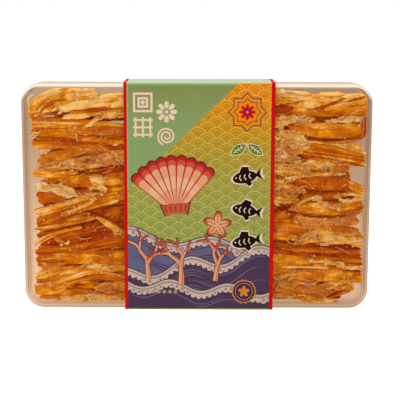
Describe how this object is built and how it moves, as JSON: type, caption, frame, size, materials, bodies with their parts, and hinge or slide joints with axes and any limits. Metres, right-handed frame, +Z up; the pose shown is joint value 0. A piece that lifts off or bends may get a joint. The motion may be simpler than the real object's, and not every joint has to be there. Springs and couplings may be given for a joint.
{
  "type": "boxed dried squid strips",
  "caption": "Shut clear plastic box of hand-torn dried squid strips, standing on its long side, with a printed card sleeve wrapped round its middle.",
  "frame": {"origin": "middle of the standing pack's footprint, on the surface that it stands on", "axes": "+X to the viewer's right along the box's long side, +Y from the lid to the tray's floor, away from the viewer, +Z up"},
  "size_m": [0.172, 0.026, 0.114],
  "materials": {
    "clear_tray": "glossy clear plastic with a faint warm haze",
    "clear_lid": "glossy clear plastic",
    "printed_card": "printed in greens and oranges, satin varnish",
    "dried_squid": "fibrous, golden amber with pale torn fluff, slightly waxy"
  },
  "bodies": {
    "root": {"box_tray": "clear_tray", "box_lid": "clear_lid", "sleeve": "printed_card", "squid_strips": "dried_squid"}
  },
  "joints": []
}
